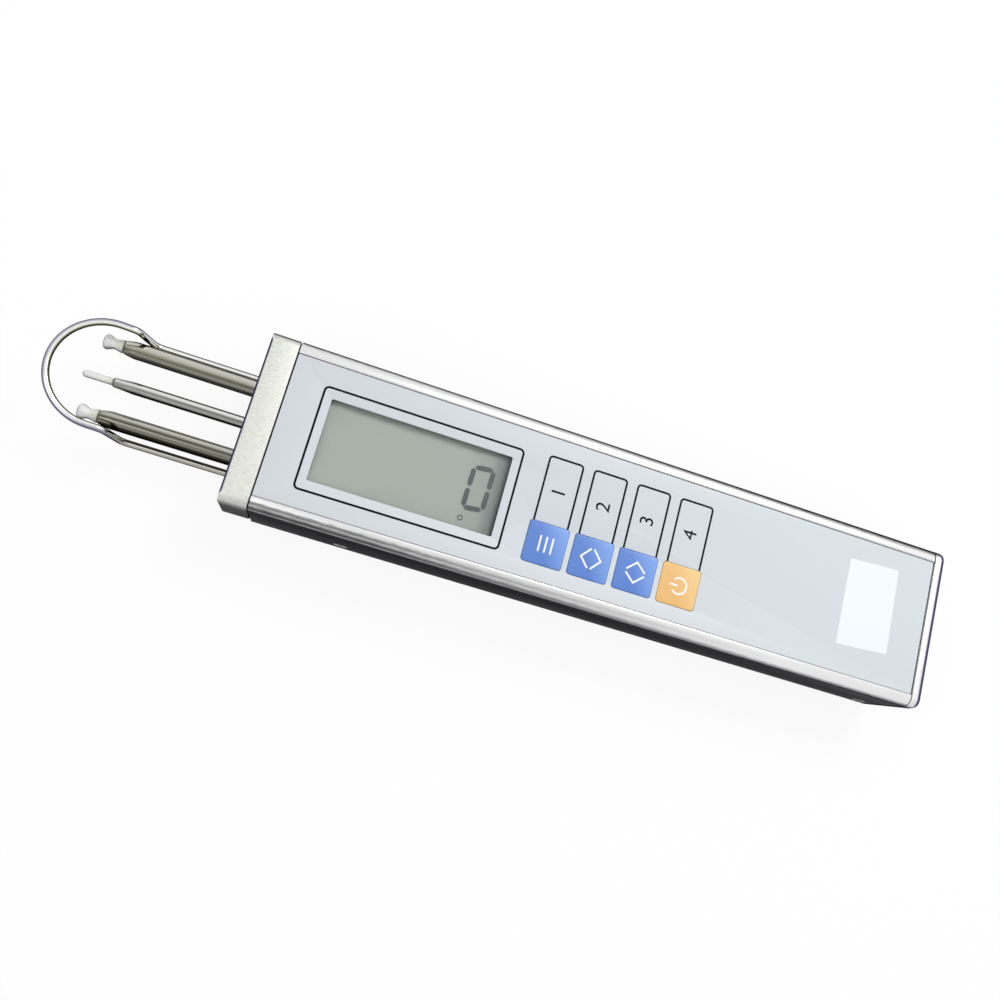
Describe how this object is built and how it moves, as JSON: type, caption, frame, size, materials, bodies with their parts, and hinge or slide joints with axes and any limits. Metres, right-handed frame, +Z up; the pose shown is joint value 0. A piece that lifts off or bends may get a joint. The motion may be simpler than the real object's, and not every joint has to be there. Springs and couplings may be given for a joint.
{
  "type": "yarn tension meter",
  "caption": "Pocket yarn tension meter: an aluminium tube with a display and keys, and at its head a sensing pin between ceramic-tipped posts inside a wire guard bow.",
  "frame": {"origin": "middle of the underside of the box round the meter, which lies on its back", "axes": "+X from the guide pins to the tail, +Y from the near long side, by the keys, to the far one, +Z up out of the panel"},
  "size_m": [0.2164, 0.04, 0.022],
  "materials": {
    "aluminium": "satin, lengthwise extrusion lines",
    "satin_aluminium": "bead blasted",
    "polished_steel": "polished",
    "steel": "plain",
    "ceramic": "glazed ceramic",
    "overlay_plastic": "fine matte film",
    "clear_plastic": "clear sheet",
    "display_grey": "liquid crystal cell",
    "black_plastic": "moulded",
    "black_rubber": "soft",
    "key_blue": "matte film",
    "key_amber": "matte film",
    "board_green": "solder mask",
    "cream_plastic": "moulded",
    "gauge_amber": "foil on film",
    "ribbon_brown": "film",
    "cell_silver": "printed sleeve",
    "lead_red": "insulated wire"
  },
  "bodies": {
    "housing": {"battery_bridge": "steel", "battery_cell_far": "cell_silver", "battery_cell_near": "cell_silver", "battery_connector": "cream_plastic", "battery_contact_far": "steel", "battery_contact_near": "steel", "battery_lead_far": "black_rubber", "battery_lead_near": "lead_red", "battery_tray": "black_plastic", "ceramic_guide_far": "ceramic", "ceramic_guide_near": "ceramic", "circuit_board": "board_green", "display_contact_strip_far": "black_rubber", "display_contact_strip_near": "black_rubber", "display_glass": "display_grey", "display_holder": "black_plastic", "display_window": "clear_plastic", "end_plate": "aluminium", "extruded_housing": "aluminium", "flexure_foot": "aluminium", "flexure_foot_screw_far": "steel", "flexure_foot_screw_near": "steel", "front_overlay": "overlay_plastic", "guard_bow": "polished_steel", "head_block": "satin_aluminium", "head_block_screw_far": "steel", "head_block_screw_near": "steel", "key_switch_1": "black_plastic", "key_switch_2": "black_plastic", "key_switch_3": "black_plastic", "key_switch_4": "black_plastic", "outer_post_far": "polished_steel", "outer_post_near": "polished_steel", "overload_stop_lower": "steel", "overload_stop_upper": "steel", "post_grub_screw_far": "steel", "post_grub_screw_near": "steel", "processor_chip": "black_plastic", "sensor_connector": "cream_plastic", "sensor_frame": "aluminium", "sensor_ribbon": "ribbon_brown", "side_screw_far_front": "steel", "side_screw_far_tail": "steel", "side_screw_near_front": "steel", "side_screw_near_tail": "steel"},
    "sensing_arm": {"sensing_pin": "polished_steel", "ceramic_sensing_rod": "ceramic", "arm_clamp": "aluminium", "arm_clamp_screw": "steel", "flexure_leaf": "steel", "strain_gauge_lower": "gauge_amber", "strain_gauge_upper": "gauge_amber"},
    "menu_key": {"menu_key": "key_blue"},
    "down_key": {"down_key": "key_blue"},
    "up_key": {"up_key": "key_blue"},
    "power_key": {"power_key": "key_amber"}
  },
  "joints": [
    {"name": "sensing_arm_flex", "type": "hinge", "parent": "housing", "child": "sensing_arm", "pos_m": [-0.03378, 0, 0.011], "axis": [0, 1, 0], "range_deg": [-0.5, 0.5], "stiffness_Nm_per_rad": 2},
    {"name": "menu_press", "type": "slide", "parent": "housing", "child": "menu_key", "axis": [0, 0, -1], "range_m": [0, 0.0004], "stiffness_N_per_m": 800},
    {"name": "down_press", "type": "slide", "parent": "housing", "child": "down_key", "axis": [0, 0, -1], "range_m": [0, 0.0004], "stiffness_N_per_m": 800},
    {"name": "up_press", "type": "slide", "parent": "housing", "child": "up_key", "axis": [0, 0, -1], "range_m": [0, 0.0004], "stiffness_N_per_m": 800},
    {"name": "power_press", "type": "slide", "parent": "housing", "child": "power_key", "axis": [0, 0, -1], "range_m": [0, 0.0004], "stiffness_N_per_m": 800}
  ]
}
